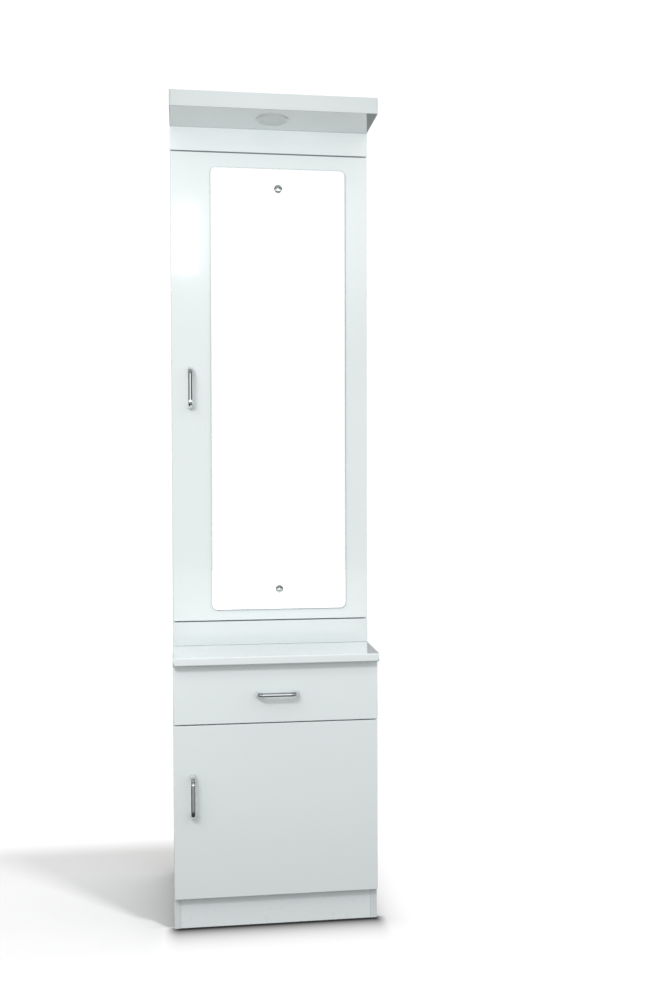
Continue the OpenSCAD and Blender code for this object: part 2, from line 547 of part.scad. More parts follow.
// ---------- concealed hinges ----------
// Local frame: x from the side panel's outer face, y from the front's outer face, z from the hinge's middle.
hA = [-42, 20.7];                      // pivot on the cabinet's arm
hB = [-14.1, 13.8];                    // pivot in the door's cup
hlen = sqrt(pow(hB[0] - hA[0], 2) + pow(hB[1] - hA[1], 2));
hang = atan2(hB[1] - hA[1], hB[0] - hA[0]);
module at_hinges(fd, zs) for (z = zs) translate([hw, yd(fd), z]) children();
module plate_screw_holes(fd, z) translate([hw, yd(fd), z]) for (k = [-16, 16]) translate([0, 55, k]) xcyl(2, -17, -4);
module all_hinges() { at_hinges(upper_d, up_hinge_z) children(); at_hinges(lower_d, low_hinge_z) children(); }
module hinge_plates() color("silver") all_hinges() {
  difference() {
    union() {
      translate([-t - 2.5, 40, -22]) cbox([2.5, 30, 44], 0.6);
      translate([-t - 6, 38, -5]) cbox([3.5, 34, 10], 0.6);
    }
    for (k = [-16, 16]) translate([0, 55, k]) xcyl(2.1, -t - 3, -t + 1);
    translate([0, 60, 0]) xcyl(2.1, -t - 7, -t + 1);
  }
  for (k = [-16, 16]) translate([0, 55, k]) { xcyl(1.9, -t - 2.6, -t + 11); xcyl(3.8, -t - 3.7, -t - 2.52); }
}
// arm: two cheeks, a web over them and a fixing screw; the pivot pin is riveted in the cheeks
module arm_cheek() {
  translate(hA) circle(3.2);
  translate(hA) rotate(atan2(40 - hA[1], -27 - hA[0])) translate([0, -2.5]) square([26, 5]);
  translate([-32, 38]) square([t - 2.5 + 0, 32]);
}
module hinge_arms() color("silver") all_hinges() {
  for (z = [-8.2, 6.6]) translate([0, 0, z]) linear_extrude(1.6) arm_cheek();
  difference() {
    translate([-32, 44, -6.7]) cube([1.6, 26, 13.4]);
    translate([0, 60, 0]) xcyl(2.1, -33, -30);
  }
  translate([hA[0], hA[1], -8.2]) cylinder(r = 1.5, h = 16.4);
  translate([0, 60, 0]) { xcyl(2, -33.4, -t - 0.5); xcyl(3.8, -33.4, -32.02); }
}
// link: a bar with an eye at each end
module hinge_link() translate([0, 0, -5.5]) linear_extrude(11) difference() {
  union() {
    translate(hA) circle(2.8);
    translate(hB) circle(2.8);
    translate(hA) rotate(hang) translate([0, -1.5]) square([hlen, 3]);
  }
  translate(hA) circle(1.55);
  translate(hB) circle(1.55);
}
module upper_hinge_links() color("silver") at_hinges(upper_d, up_hinge_z) hinge_link();
module lower_hinge_links() color("silver") at_hinges(lower_d, low_hinge_z) hinge_link();
module upper_hinge_cups() color("silver") at_hinges(upper_d, up_hinge_z) hinge_cup();
module lower_hinge_cups() color("silver") at_hinges(lower_d, low_hinge_z) hinge_cup();
// cup with its flange, its pivot pin and its two screws
cupc = -reveal - 21.5;
module hinge_cup() {
  difference() {
    union() {
      translate([cupc, t, 0]) rotate([90, 0, 0]) rotate_extrude($fn = 72)
        polygon([[0, 10.5], [16.3, 10.5], [16.3, -0.8], [17.4, -0.8], [17.4, 11.4], [0, 11.4]]);
      translate([cupc - 18, t, -32]) cbox([24, 0.8, 64], 0.3);
    }
    translate([cupc, 0, 0]) ycyl(16.3, t - 10.5, t + 2);
    for (k = [-26, 26]) translate([cupc - 6, 0, k]) ycyl(1.9, t - 1, t + 2);
  }
  translate([hB[0], hB[1], 0]) intersection() {
    translate([0, 0, -15]) cylinder(r = 1.5, h = 30);
    translate([cupc - hB[0], 0, 0]) ycyl(16.8, -5, 5);
  }
  for (k = [-26, 26]) translate([cupc - 6, 0, k]) { ycyl(1.65, t - 10.5, t + 1); ycyl(3.6, t + 0.82, t + 2); }
}

// ---------- small parts ----------
module door_bumpers() color([0.9, 0.95, 1.0, 0.7])
  for (f = [[uc, up_door_z0 + 20, -1], [uc, up_door_z1 - 20, -1], [lc, low_door_z0 + 20, -1], [lc, low_door_z1 - 20, -1],
      [lc, drawer_z1 - 12, -1], [lc, drawer_z1 - 12, 1]])
    translate([f[2] * (hw - 8), yd(f[0]), f[1]]) rotate([90, 0, 0]) rotate_extrude() polygon([[0, 0], [4.5, 0], [4.2, 0.9], [3, 1.6], [0, 1.7]]);
module floor_glides() color([0.8, 0.8, 0.8]) for (x = [-hw + 8, hw - 8], d = [40, 350]) translate([x, yd(d), 0]) {
  rotate_extrude() polygon([[0, 0], [5.8, 0], [7, 1.2], [7, glide_h], [0, glide_h]]);
  translate([0, 0, glide_h]) cylinder(r = 1.4, h = 14);
}

lower_side_left();
lower_side_right();
lower_bottom_board();
plinth();
worktop();
worktop_rails();
drawer_divider();
lower_back_panel();
lower_shelf();
floor_glides();
upper_side_left();
upper_side_right();
upper_bottom_board();
upper_top_board();
upper_back_panel();
base_panel();
frieze_panel();
corner_blocks();
upper_shelves();
shelf_pins();
dowels();
cam_fittings();
canopy_top_board();
canopy_light_board();
canopy_edge_band();
lamp_bezel();
lamp_lens();
lamp_can();
lamp_capsule();
lamp_driver();
lamp_lead();
mains_gland();
block_screws();
runner_channels();
runner_screws();
hinge_plates();
hinge_arms();
door_bumpers();
front_rollers();
drawer_front();
drawer_sides();
drawer_ends();
drawer_bottom();
drawer_profiles();
drawer_handle();
drawer_screws();
rear_rollers();
mirror_door();
mirror_glass();
mirror_screws();
mirror_caps();
upper_handle();
upper_handle_screws();
upper_hinge_cups();
upper_hinge_links();
lower_door();
lower_handle();
lower_handle_screws();
lower_hinge_cups();
lower_hinge_links();
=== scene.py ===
import json
import math

import bmesh
import bpy
from mathutils import Matrix, Vector

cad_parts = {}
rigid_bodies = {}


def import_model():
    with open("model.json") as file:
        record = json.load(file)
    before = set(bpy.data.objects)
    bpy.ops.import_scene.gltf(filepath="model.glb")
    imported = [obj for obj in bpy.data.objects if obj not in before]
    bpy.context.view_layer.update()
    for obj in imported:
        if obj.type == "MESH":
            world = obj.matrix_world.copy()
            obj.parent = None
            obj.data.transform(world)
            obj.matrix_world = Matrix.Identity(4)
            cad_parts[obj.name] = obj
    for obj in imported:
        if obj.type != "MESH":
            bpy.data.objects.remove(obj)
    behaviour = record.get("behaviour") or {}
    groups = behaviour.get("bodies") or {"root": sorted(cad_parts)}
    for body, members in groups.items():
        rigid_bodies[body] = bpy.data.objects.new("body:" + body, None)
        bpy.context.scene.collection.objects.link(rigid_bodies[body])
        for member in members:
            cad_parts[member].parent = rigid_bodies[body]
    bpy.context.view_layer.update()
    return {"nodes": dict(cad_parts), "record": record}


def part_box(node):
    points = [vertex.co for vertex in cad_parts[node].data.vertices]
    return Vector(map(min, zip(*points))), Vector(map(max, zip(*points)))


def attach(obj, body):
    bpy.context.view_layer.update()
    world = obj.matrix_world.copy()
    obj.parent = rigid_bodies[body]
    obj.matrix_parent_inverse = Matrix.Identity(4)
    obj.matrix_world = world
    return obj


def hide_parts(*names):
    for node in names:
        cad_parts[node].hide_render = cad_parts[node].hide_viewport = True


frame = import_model()
N = frame["nodes"]
scene = bpy.context.scene
SCENE = scene.collection
BODY = {n: b for b, ns in frame["record"]["behaviour"]["bodies"].items() for n in ns}

# ------------------------------------------------------------------ camera
YAW, PITCH, ROLL = math.radians(7.821), math.radians(1.909), math.radians(-0.107)
EYE = Vector((-0.2266, -2.8617, 1.1364))
fwd = Vector((math.sin(YAW) * math.cos(PITCH), math.cos(YAW) * math.cos(PITCH), -math.sin(PITCH)))
right0 = Vector((math.cos(YAW), -math.sin(YAW), 0))
up0 = right0.cross(fwd)
right = right0 * math.cos(ROLL) + up0 * math.sin(ROLL)
up = up0 * math.cos(ROLL) - right0 * math.sin(ROLL)
cam_data = bpy.data.cameras.new("camera")
cam_data.sensor_width = 36.0
cam_data.lens = 39.87
cam_data.clip_start, cam_data.clip_end = 0.05, 60
cam = bpy.data.objects.new("camera", cam_data)
SCENE.objects.link(cam)
cam.matrix_world = Matrix(((right.x, up.x, -fwd.x, EYE.x), (right.y, up.y, -fwd.y, EYE.y), (right.z, up.z, -fwd.z, EYE.z), (0, 0, 0, 1)))
scene.camera = cam
scene.view_settings.view_transform = "Standard"
scene.view_settings.look = "None"


# ------------------------------------------------------------------ material helpers
class Mat:
    """A node material with a Principled shader and short calls for the nodes in front of it."""

    def __init__(self, name, **values):
        self.mat = bpy.data.materials.new(name)
        self.mat.use_nodes = True
        self.nt = self.mat.node_tree
        self.nt.nodes.clear()
        self.out = self.nt.nodes.new("ShaderNodeOutputMaterial")
        self.p = self.nt.nodes.new("ShaderNodeBsdfPrincipled")
        self.nt.links.new(self.p.outputs[0], self.out.inputs["Surface"])
        self.tc = self.nt.nodes.new("ShaderNodeTexCoord")
        for k, v in values.items():
            self.p.inputs[k.replace("_", " ")].default_value = v

    def link(self, a, b):
        self.nt.links.new(a, b)

    def coord(self, scale=(1, 1, 1)):
        m = self.nt.nodes.new("ShaderNodeMapping")
        m.inputs["Scale"].default_value = scale
        self.link(self.tc.outputs["Object"], m.inputs["Vector"])
        return m.outputs["Vector"]

    def noise(self, scale, detail=2.0, rough=0.5, stretch=(1, 1, 1), distortion=0.0):
        n = self.nt.nodes.new("ShaderNodeTexNoise")
        n.inputs["Scale"].default_value = scale
        n.inputs["Detail"].default_value = detail
        n.inputs["Roughness"].default_value = rough
        n.inputs["Distortion"].default_value = distortion
        self.link(self.coord(stretch), n.inputs["Vector"])
        return n.outputs["Fac"]

    def voronoi(self, scale, stretch=(1, 1, 1), feature="F1", out="Distance"):
        n = self.nt.nodes.new("ShaderNodeTexVoronoi")
        n.feature = feature
        n.inputs["Scale"].default_value = scale
        self.link(self.coord(stretch), n.inputs["Vector"])
        return n.outputs[out]

    def ramp(self, fac, *stops):
        r = self.nt.nodes.new("ShaderNodeValToRGB")
        e = r.color_ramp.elements
        while len(e) < len(stops):
            e.new(0.5)
        for el, (pos, col) in zip(e, stops):
            el.position = pos
            el.color = (*col, 1) if len(col) == 3 else col
        self.link(fac, r.inputs["Fac"])
        return r.outputs["Color"]

    def range(self, fac, lo, hi, a=0.3, b=0.7):
        r = self.nt.nodes.new("ShaderNodeMapRange")
        r.inputs["From Min"].default_value = a
        r.inputs["From Max"].default_value = b
        r.inputs["To Min"].default_value = lo
        r.inputs["To Max"].default_value = hi
        self.link(fac, r.inputs["Value"])
        return r.outputs["Result"]

    def mix(self, fac, a, b):
        m = self.nt.nodes.new("ShaderNodeMix")
        m.data_type = "RGBA"
        for sock, v in ((m.inputs[0], fac), (m.inputs[6], a), (m.inputs[7], b)):
            if isinstance(v, bpy.types.NodeSocket):
                self.link(v, sock)
            elif isinstance(v, (int, float)):
                sock.default_value = v
            else:
                sock.default_value = (*v, 1)
        return m.outputs[2]

    def colour(self, out):
        self.link(out, self.p.inputs["Base Color"])
        return self

    def rough(self, out):
        self.link(out, self.p.inputs["Roughness"])
        return self

    def bump(self, *layers):
        """layers of (height, strength, distance in metres)"""
        last = None
        for h, strength, dist in layers:
            b = self.nt.nodes.new("ShaderNodeBump")
            b.inputs["Strength"].default_value = strength
            b.inputs["Distance"].default_value = dist
            self.link(h, b.inputs["Height"])
            if last is not None:
                self.link(last, b.inputs["Normal"])
            last = b.outputs["Normal"]
        self.link(last, self.p.inputs["Normal"])
        return self


def shade(c, k):
    return tuple(min(1.0, x * k) for x in c)


# ------------------------------------------------------------------ materials
WHITE = (0.781, 0.838, 0.840)

# glossy foil on the fronts, the worktop and the canopy
gloss = Mat("gloss_foil", IOR=1.5, Coat_Weight=0.35, Coat_Roughness=0.03)
gloss.colour(gloss.ramp(gloss.noise(2.2, 3), (0.3, shade(WHITE, 0.985)), (0.7, shade(WHITE, 1.01))))
gloss.rough(gloss.range(gloss.noise(14, 4), 0.08, 0.12))
gloss.bump((gloss.noise(170, 2), 0.025, 0.0003), (gloss.noise(7, 1), 0.04, 0.0015))


def foil(name, tone):
    """the same foil set a little lighter (painted light) or a little darker (painted shade) for one part, to set that
    panel's brightness
    """
    m = Mat(name, IOR=1.5, Coat_Weight=0.35, Coat_Roughness=0.03)
    m.colour(m.ramp(m.noise(2.2, 3), (0.3, shade(WHITE, tone - 0.012)), (0.7, shade(WHITE, tone + 0.012))))
    m.rough(m.range(m.noise(14, 4), 0.08, 0.12))
    m.bump((m.noise(170, 2), 0.025, 0.0003), (m.noise(7, 1), 0.04, 0.0015))
    return m


# lit and shaded copies of one foil: painted light on the drawer, the lower door and the frieze, painted shade on the
# base panel and the worktop's top face
gloss_drawer_lit = foil("gloss_foil_drawer_painted_light", 1.085)
gloss_door_lit = foil("gloss_foil_door_painted_light", 1.065)
gloss_frieze_lit = foil("gloss_foil_frieze_painted_light", 1.03)
gloss_base_shaded = foil("gloss_foil_base_painted_shade", 0.925)
gloss_top_shaded = foil("gloss_foil_worktop_painted_shade", 0.86)
polish = Mat("gloss_lacquer", IOR=1.5, Coat_Weight=1.0, Coat_Roughness=0.03)
polish.colour(polish.ramp(polish.noise(2.2, 3), (0.3, shade(WHITE, 0.97)), (0.7, shade(WHITE, 0.995))))
polish.rough(polish.range(polish.noise(14, 4), 0.05, 0.08))
polish.bump((polish.noise(170, 2), 0.02, 0.0003), (polish.noise(7, 1), 0.03, 0.0012))

# edge band: the same white, a touch warmer and less polished
band = Mat("edge_band", IOR=1.5, Coat_Weight=0.15, Coat_Roughness=0.08)
band.colour(band.ramp(band.noise(9, 3), (0.3, shade(WHITE, 0.975)), (0.7, shade(WHITE, 1.0))))
fascia = Mat("canopy_band", IOR=1.5, Coat_Weight=0.25, Coat_Roughness=0.05)
fascia.colour(fascia.ramp(fascia.noise(9, 3), (0.3, shade(WHITE, 0.985)), (0.7, shade(WHITE, 1.01))))
fascia.rough(fascia.range(fascia.noise(30, 3, stretch=(0.05, 1, 1)), 0.16, 0.24))
fascia.bump((fascia.noise(200, 2, stretch=(0.1, 0.1, 1)), 0.04, 0.0004))
band.rough(band.range(band.noise(30, 3, stretch=(1, 1, 0.05)), 0.20, 0.28))
band.bump((band.noise(260, 2, stretch=(1, 1, 0.1)), 0.04, 0.0004))

# melamine inside and on the side panels: fine pearl grain
satin = Mat("melamine", IOR=1.5, Coat_Weight=0.08, Coat_Roughness=0.2)
satin.colour(satin.ramp(satin.noise(3.5, 3), (0.3, shade(WHITE, 0.975)), (0.7, shade(WHITE, 1.0))))
satin.rough(satin.range(satin.noise(60, 4), 0.26, 0.36))
satin.bump((satin.noise(110, 2), 0.04, 0.0003), (satin.noise(9, 1), 0.03, 0.001))

# a lighter copy of the melamine for the plinth: painted light
plinth_lit_white = Mat("melamine_plinth_painted_light", IOR=1.5, Coat_Weight=0.08, Coat_Roughness=0.2)
plinth_lit_white.colour(plinth_lit_white.ramp(plinth_lit_white.noise(3.5, 3), (0.3, shade(WHITE, 1.11)), (0.7, shade(WHITE, 1.13))))
plinth_lit_white.rough(plinth_lit_white.range(plinth_lit_white.noise(60, 4), 0.26, 0.36))
plinth_lit_white.bump((plinth_lit_white.noise(110, 2), 0.03, 0.0003), (plinth_lit_white.noise(9, 1), 0.03, 0.001))

# raw particle board in the drilled holes and on the edges that stay bare
core = Mat("particle_board", IOR=1.45)
chips = core.voronoi(420, stretch=(1, 1, 2.2), out="Color")
core_hue = core.mix(core.noise(520, 3), (0.42, 0.29, 0.17), (0.66, 0.52, 0.36))
core.colour(core.mix(0.35, core_hue, core.ramp(chips, (0.1, (0.24, 0.15, 0.08)), (0.6, (0.70, 0.57, 0.41)))))
core.rough(core.range(core.noise(300, 2), 0.8, 0.95))
core.bump((core.voronoi(420, stretch=(1, 1, 2.2)), 0.5, 0.0006))

# thin fibreboard: white lacquer inside, bare brown at the back
lacquer = Mat("fibreboard_white", IOR=1.5)
lacquer.colour(lacquer.ramp(lacquer.noise(5, 3), (0.3, shade(WHITE, 0.93)), (0.7, shade(WHITE, 0.96))))
lacquer.rough(lacquer.range(lacquer.noise(40, 3), 0.42, 0.52))
lacquer.bump((lacquer.noise(500, 4), 0.08, 0.0002))
hardboard = Mat("fibreboard_bare", IOR=1.45)
fib = hardboard.noise(380, 6, 0.7, stretch=(1, 1, 0.6), distortion=0.6)
hardboard.colour(hardboard.mix(hardboard.noise(4, 3), hardboard.ramp(fib, (0.35, (0.27, 0.175, 0.10)), (0.65, (0.41, 0.29, 0.18))),
                               hardboard.ramp(fib, (0.35, (0.33, 0.22, 0.13)), (0.65, (0.47, 0.34, 0.215)))))
hardboard.rough(hardboard.range(fib, 0.6, 0.8))
hardboard.bump((fib, 0.25, 0.0004))

# raw softwood and beech
softwood = Mat("softwood", IOR=1.45)
grain = softwood.noise(60, 5, 0.6, stretch=(1, 1, 0.08), distortion=0.8)
softwood.colour(softwood.ramp(grain, (0.3, (0.62, 0.47, 0.30)), (0.7, (0.78, 0.65, 0.47))))
softwood.rough(softwood.range(grain, 0.6, 0.75))
softwood.bump((grain, 0.25, 0.0005))
beech = Mat("beech", IOR=1.45)
flecks = beech.noise(240, 4, 0.6, stretch=(0.15, 1, 1))
beech.colour(beech.ramp(flecks, (0.3, (0.60, 0.41, 0.25)), (0.7, (0.74, 0.56, 0.38))))
beech.rough(beech.range(flecks, 0.55, 0.7))
beech.bump((flecks, 0.3, 0.0003))

# metals
chrome = Mat("chrome", Metallic=1.0)
chrome.colour(chrome.ramp(chrome.noise(40, 2), (0.3, (0.775, 0.83, 0.825)), (0.7, (0.825, 0.88, 0.875))))
chrome.rough(chrome.range(chrome.noise(120, 4), 0.035, 0.075))
chrome.bump((chrome.noise(900, 3), 0.02, 0.00005))
satin_chrome = Mat("satin_chrome", Metallic=1.0)
satin_chrome.colour(satin_chrome.ramp(satin_chrome.noise(40, 2), (0.3, (0.80, 0.83, 0.83)), (0.7, (0.86, 0.885, 0.88))))
satin_chrome.rough(satin_chrome.range(satin_chrome.noise(260, 4), 0.20, 0.28))
satin_chrome.bump((satin_chrome.noise(900, 3), 0.03, 0.00006))
nickel = Mat("nickel", Metallic=1.0)
nickel.colour(nickel.ramp(nickel.noise(60, 3), (0.3, (0.55, 0.55, 0.54)), (0.7, (0.66, 0.66, 0.645))))
nickel.rough(nickel.range(nickel.noise(220, 4, stretch=(1, 1, 0.2)), 0.22, 0.36))
nickel.bump((nickel.noise(700, 3, stretch=(1, 1, 0.15)), 0.08, 0.0001))
zinc = Mat("zinc", Metallic=1.0)
zinc.colour(zinc.ramp(zinc.voronoi(160, out="Color"), (0.2, (0.50, 0.52, 0.54)), (0.8, (0.64, 0.66, 0.68))))
zinc.rough(zinc.range(zinc.noise(120, 3), 0.32, 0.48))
zinc.bump((zinc.noise(400, 3), 0.1, 0.0001))
spun = Mat("spun_aluminium", Metallic=1.0)
spun.colour(spun.ramp(spun.noise(60, 2), (0.3, (0.72, 0.73, 0.74)), (0.7, (0.82, 0.83, 0.84))))
spun.rough(spun.range(spun.noise(420, 3, stretch=(0.2, 0.2, 6)), 0.2, 0.34))
spun.bump((spun.noise(420, 2, stretch=(0.2, 0.2, 6)), 0.15, 0.0001))
powder = Mat("powder_coat", IOR=1.5)
powder.colour(powder.ramp(powder.noise(20, 2), (0.3, (0.80, 0.80, 0.77)), (0.7, (0.84, 0.84, 0.81))))
powder.rough(powder.range(powder.noise(90, 3), 0.36, 0.46))
powder.bump((powder.noise(850, 3), 0.2, 0.0002))
enamel = Mat("enamel", IOR=1.5, Coat_Weight=0.9, Coat_Roughness=0.04)
enamel.colour(enamel.ramp(enamel.noise(30, 2), (0.3, (0.775, 0.825, 0.825)), (0.7, (0.80, 0.85, 0.85))))
enamel.rough(enamel.range(enamel.noise(90, 3), 0.18, 0.26))
enamel.bump((enamel.noise(500, 2), 0.05, 0.0002))

# plastics and rubber
nylon = Mat("nylon", IOR=1.5, Subsurface_Weight=0.1, Subsurface_Scale=0.002)
nylon.colour(nylon.ramp(nylon.noise(60, 2), (0.3, (0.80, 0.80, 0.76)), (0.7, (0.85, 0.85, 0.81))))
nylon.rough(nylon.range(nylon.noise(150, 3), 0.38, 0.5))
nylon.bump((nylon.noise(800, 2), 0.08, 0.0002))
grey_nylon = Mat("grey_nylon", IOR=1.5)
grey_nylon.colour(grey_nylon.ramp(grey_nylon.noise(80, 3), (0.3, (0.10, 0.10, 0.105)), (0.7, (0.15, 0.15, 0.155))))
grey_nylon.rough(grey_nylon.range(grey_nylon.noise(200, 3), 0.5, 0.65))
grey_nylon.bump((grey_nylon.noise(700, 3), 0.15, 0.0002))
case = Mat("moulded_case", IOR=1.5)
case.colour(case.ramp(case.noise(30, 2), (0.3, (0.80, 0.80, 0.80)), (0.7, (0.84, 0.84, 0.84))))
case.rough(case.range(case.noise(150, 3), 0.42, 0.52))
case.bump((case.voronoi(900), 0.2, 0.0002))
rubber = Mat("rubber", IOR=1.5)
rubber.colour(rubber.ramp(rubber.noise(90, 3), (0.3, (0.018, 0.018, 0.019)), (0.7, (0.032, 0.032, 0.033))))
rubber.rough(rubber.range(rubber.noise(200, 3), 0.55, 0.7))
rubber.bump((rubber.noise(900, 3), 0.15, 0.0002))
gel = Mat("soft_bumper", IOR=1.45, Transmission_Weight=0.7)
gel.colour(gel.ramp(gel.noise(100, 2), (0.3, (0.86, 0.88, 0.88)), (0.7, (0.92, 0.94, 0.94))))
gel.rough(gel.range(gel.noise(200, 2), 0.15, 0.3))
gel.bump((gel.noise(500, 2), 0.05, 0.0002))

# mirror glass
silver = Mat("mirror_silver", Metallic=1.0, Coat_Weight=0.0)
silver.colour(silver.ramp(silver.noise(1.3, 2), (0.3, (0.955, 0.965, 0.963)), (0.7, (0.965, 0.972, 0.970))))
silver.rough(silver.range(silver.noise(6, 3), 0.0, 0.012))
glass_edge = Mat("glass_edge", IOR=1.52, Coat_Weight=0.6, Coat_Roughness=0.03)
glass_edge.colour(glass_edge.ramp(glass_edge.noise(25, 3), (0.3, (0.45, 0.53, 0.515)), (0.7, (0.56, 0.64, 0.62))))
glass_edge.rough(glass_edge.range(glass_edge.noise(160, 3), 0.08, 0.2))
glass_edge.bump((glass_edge.noise(300, 2, stretch=(1, 1, 0.2)), 0.08, 0.0002))
arris = Mat("mirror_arris", Metallic=0.30)
arris.colour(arris.ramp(arris.noise(30, 2), (0.3, (0.74, 0.80, 0.79)), (0.7, (0.82, 0.88, 0.87))))
arris.rough(arris.range(arris.noise(200, 3), 0.18, 0.30))
arris.bump((arris.noise(420, 2), 0.04, 0.0001))
backing = Mat("mirror_backing", IOR=1.45)
backing.colour(backing.ramp(backing.noise(8, 3), (0.3, (0.20, 0.20, 0.21)), (0.7, (0.26, 0.26, 0.27))))
backing.rough(backing.range(backing.noise(60, 2), 0.6, 0.7))

# lamp lens and capsule
frosted = Mat("frosted_glass", IOR=1.45, Transmission_Weight=0.12, Coat_Weight=0.8, Coat_Roughness=0.04)
frosted.colour(frosted.ramp(frosted.noise(60, 3), (0.3, (0.70, 0.77, 0.76)), (0.7, (0.75, 0.82, 0.81))))
frosted.rough(frosted.range(frosted.noise(300, 3), 0.3, 0.42))
frosted.bump((frosted.noise(900, 3), 0.2, 0.0002))
quartz = Mat("quartz", IOR=1.46, Transmission_Weight=0.9)
quartz.colour(quartz.ramp(quartz.noise(150, 2), (0.3, (0.90, 0.90, 0.88)), (0.7, (0.96, 0.96, 0.94))))
quartz.rough(quartz.range(quartz.noise(200, 2), 0.05, 0.2))
quartz.bump((quartz.noise(500, 2), 0.05, 0.0002))


# ------------------------------------------------------------------ geometry helpers
def put(name, me, mats, node=None, body=None):
    ob = bpy.data.objects.new(name, me)
    SCENE.objects.link(ob)
    for m in mats:
        me.materials.append(m.mat)
    if node:
        nodes = [node] if isinstance(node, str) else node
        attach(ob, body or BODY[nodes[0]])
        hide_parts(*nodes)
    else:
        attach(ob, body)
    return ob


def smooth(me, angle=30):
    """Smooth faces, with the edges that are sharper than the angle kept sharp."""
    me.polygons.foreach_set("use_smooth", [True] * len(me.polygons))
    me.set_sharp_from_angle(angle=math.radians(angle))


def weighted(ob):
    m = ob.modifiers.new("weighted", "WEIGHTED_NORMAL")
    m.keep_sharp = True
    m.weight = 100


def board(node, name, axis, mats, rule, round_mm=0.3, min_edge=0.012, every=False, split=None):
    """A board made from its CAD solid: welded, its long edges rounded, and its faces given a finish each.
    rule(n, c, lo, hi, inside) gives the material's place in mats."""
    src = N[node]
    bm = bmesh.new()
    bm.from_mesh(src.data)
    bmesh.ops.remove_doubles(bm, verts=bm.verts, dist=1.5e-6)
    bmesh.ops.dissolve_limit(bm, angle_limit=math.radians(0.4), verts=bm.verts, edges=bm.edges)
    if round_mm:
        picked = []
        for e in bm.edges:
            if len(e.link_faces) == 2 and e.calc_face_angle(0) > math.radians(25) and (every or e.calc_length() > min_edge):
                picked.append(e)
        if picked:
            bmesh.ops.bevel(bm, geom=picked, offset=round_mm / 1000, segments=2, profile=0.5, affect="EDGES", clamp_overlap=True, loop_slide=True)
    bm.normal_update()
    # each loose solid of the node is judged in its own box
    parts, seen = [], set()
    for f in bm.faces:
        if f.index in seen:
            continue
        stack, part = [f], []
        seen.add(f.index)
        while stack:
            g = stack.pop()
            part.append(g)
            for e in g.edges:
                for h in e.link_faces:
                    if h.index not in seen:
                        seen.add(h.index)
                        stack.append(h)
        parts.append(part)
    for part in parts:
        lo = Vector([min(v.co[i] for f in part for v in f.verts) for i in range(3)])
        hi = Vector([max(v.co[i] for f in part for v in f.verts) for i in range(3)])
        for f in part:
            c = f.calc_center_median()
            inside = all(c[i] - lo[i] > 0.0012 and hi[i] - c[i] > 0.0012 for i in range(3))
            f.material_index = rule(f.normal, c, lo, hi, inside)
            f.smooth = True
    me = bpy.data.meshes.new(name)
    bm.to_mesh(me)
    bm.free()
    me.set_sharp_from_angle(angle=math.radians(50))
    ob = put(name, me, mats, node)
    weighted(ob)
    return ob


def lathe(profile, axis, at, segments=96, close=True):
    """Mesh data turned round an axis through at. profile holds (radius, height) pairs."""
    bm = bmesh.new()
    a = Vector(axis).normalized()
    u = a.orthogonal().normalized()
    w = a.cross(u)
    rings = []
    for r, h in profile:
        base = Vector(at) + a * h
        if r < 1e-9:
            rings.append([bm.verts.new(base)])
        else:
            rings.append([bm.verts.new(base + (u * math.cos(t) + w * math.sin(t)) * r) for t in (2 * math.pi * i / segments for i in range(segments))])
    pairs = list(zip(rings, rings[1:])) + ([(rings[-1], rings[0])] if close else [])
    for p, q in pairs:
        if len(p) == 1 and len(q) == 1:
            continue
        for i in range(segments):
            j = (i + 1) % segments
            if len(p) == 1:
                bm.faces.new((p[0], q[j], q[i]))
            elif len(q) == 1:
                bm.faces.new((p[i], p[j], q[0]))
            else:
                bm.faces.new((p[i], p[j], q[j], q[i]))
    bmesh.ops.recalc_face_normals(bm, faces=bm.faces)
    for f in bm.faces:
        f.smooth = True
    return bm


def arc(cx, cy, r, a0, a1, n):
    return [(cx + r * math.cos(math.radians(a0 + (a1 - a0) * i / n)), cy + r * math.sin(math.radians(a0 + (a1 - a0) * i / n))) for i in range(n + 1)]


def to_mesh(bm, name, angle=35):
    me = bpy.data.meshes.new(name)
    bm.to_mesh(me)
    bm.free()
    me.set_sharp_from_angle(angle=math.radians(angle))
    return me


# ------------------------------------------------------------------ boards
MM = 0.001


def gloss_all(n, c, lo, hi, inside):
    return 1 if inside else 0


# the fronts take the foil copies with painted light or painted shade; the mirror door keeps the plain foil
FRONT_FOIL_PAINTED_LEVELS = {"base_panel": gloss_base_shaded, "frieze_panel": gloss_frieze_lit, "drawer_front": gloss_drawer_lit, "lower_door": gloss_door_lit}
for node in ("base_panel", "frieze_panel", "drawer_front", "mirror_door", "lower_door"):
    board(node, node + "_foil", "y", [FRONT_FOIL_PAINTED_LEVELS.get(node, gloss), core], gloss_all, 0.3 if node == "base_panel" else 0.9)


def worktop_rule(n, c, lo, hi, inside):
    return 1 if inside or n.y > 0.9 else 0


# the worktop's upward faces take the darker foil copy: painted shade on the top
board("worktop", "worktop_slab", "z", [gloss, core, gloss_top_shaded], lambda n, c, lo, hi, inside: 2 if n.z > 0.7 and not inside else worktop_rule(n, c, lo, hi, inside), 0.3)
board("canopy_light_board", "canopy_underside", "z", [polish, core], worktop_rule, 0.15)
board("canopy_top_board", "canopy_upper_slab", "z", [gloss, core], worktop_rule, 0.15)
board("canopy_edge_band", "canopy_fascia", "z", [fascia, core], lambda n, c, lo, hi, inside: 0, 0.7, 0.0)


def side_rule(n, c, lo, hi, inside):
    if inside or n.y > 0.9 or abs(n.z) > 0.9:
        return 2
    return 1 if n.y < -0.35 else 0


for node in ("lower_side_left", "lower_side_right", "upper_side_left", "upper_side_right"):
    board(node, node + "_panel", "x", [satin, band, core], side_rule, 0.2)


def shelf_rule(n, c, lo, hi, inside):
    if inside or n.y > 0.9 or abs(n.x) > 0.9:
        return 2
    return 1 if n.y < -0.35 else 0


